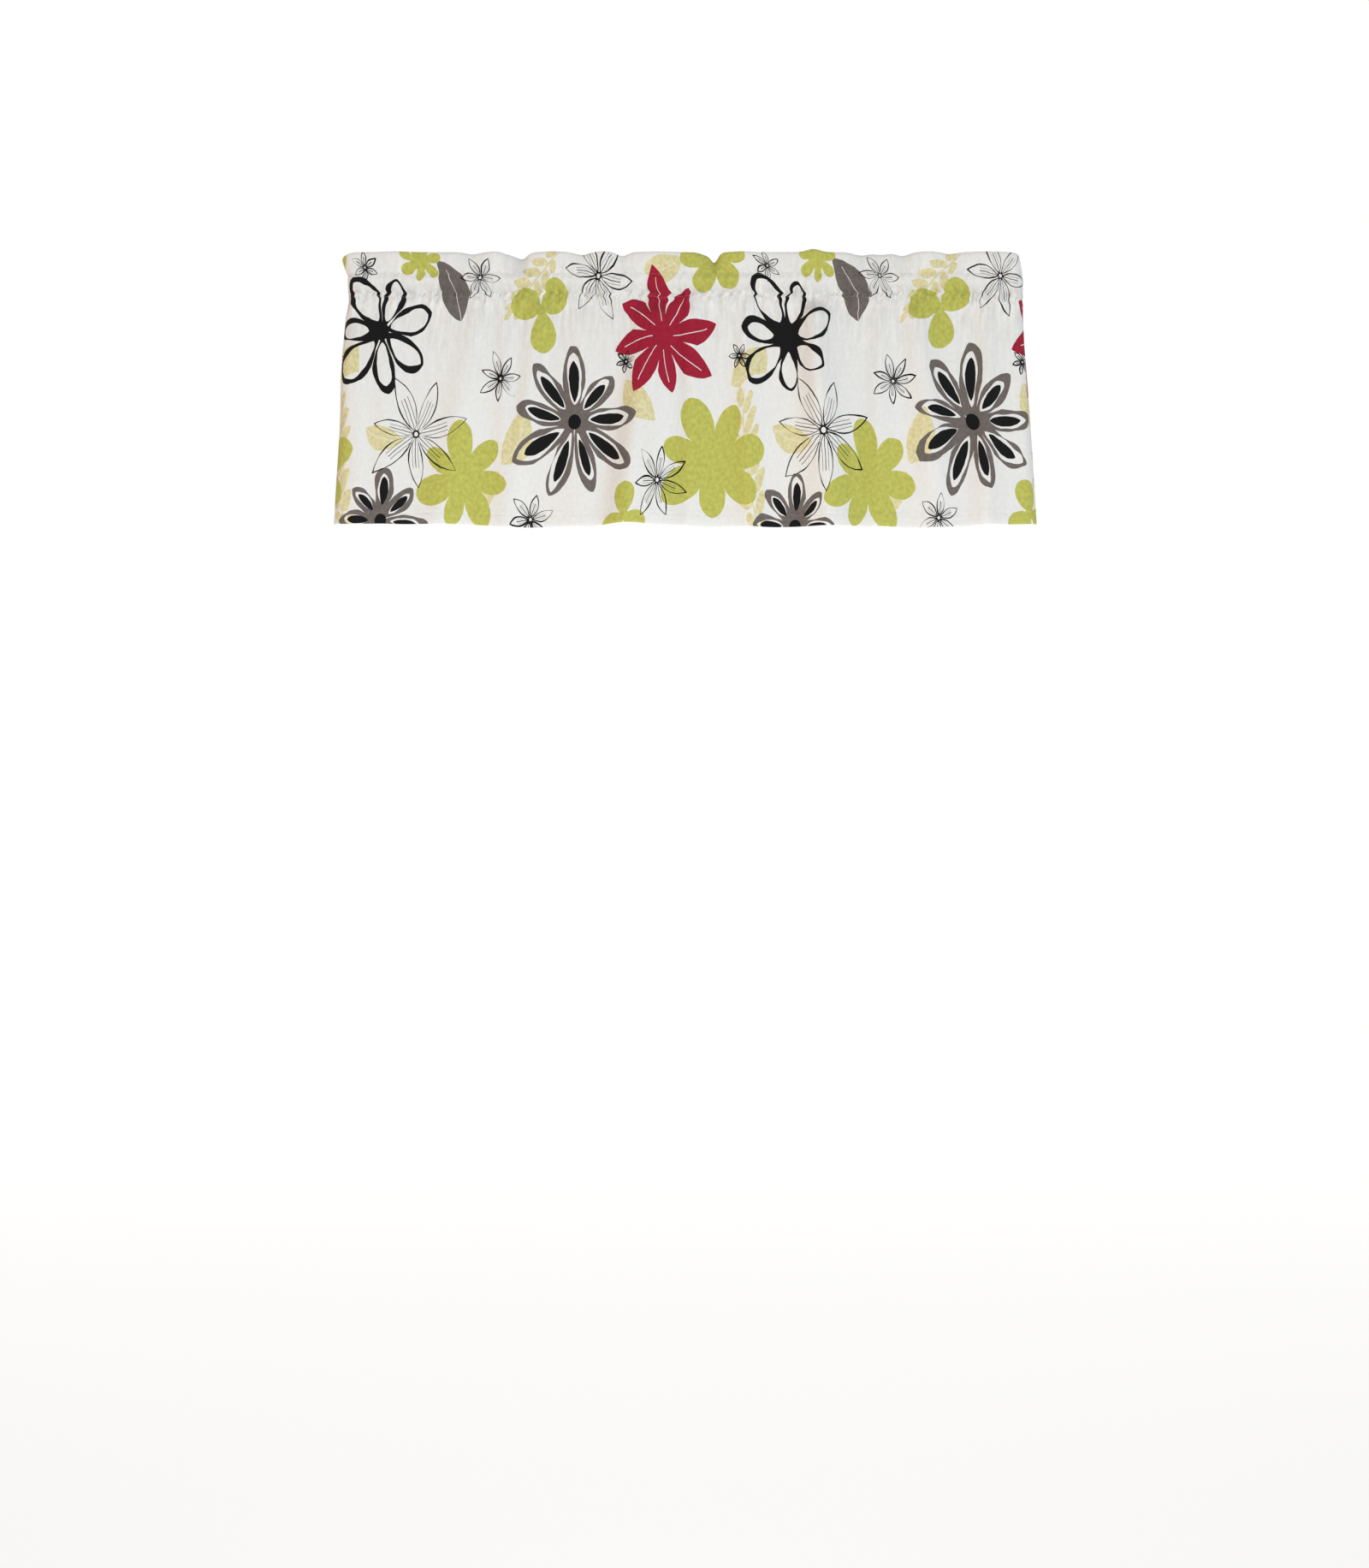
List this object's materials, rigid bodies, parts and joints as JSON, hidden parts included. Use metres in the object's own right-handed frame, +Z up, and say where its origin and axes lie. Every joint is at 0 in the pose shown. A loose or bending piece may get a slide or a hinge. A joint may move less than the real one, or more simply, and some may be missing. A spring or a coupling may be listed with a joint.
{
  "type": "rod-pocket window valance",
  "caption": "Short gathered window valance with a ruffle above a rod pocket, returns to the wall, soft uneven folds and an allover flower print.",
  "frame": {"origin": "middle of the ruffle's top edge, straight above the rod's centre line", "axes": "+Z up, +X along the rod to the viewer's right, -Y towards the viewer, +Y to the wall"},
  "size_m": [0.9812, 0.0741, 0.3845],
  "materials": {
    "printed_cotton": "plain-weave cotton, matt, off-white ground printed with lime, crimson, sand, taupe and black flowers"
  },
  "bodies": {
    "root": {"heading_front": "printed_cotton", "heading_return_left": "printed_cotton", "heading_return_right": "printed_cotton", "skirt": "printed_cotton"}
  },
  "joints": []
}
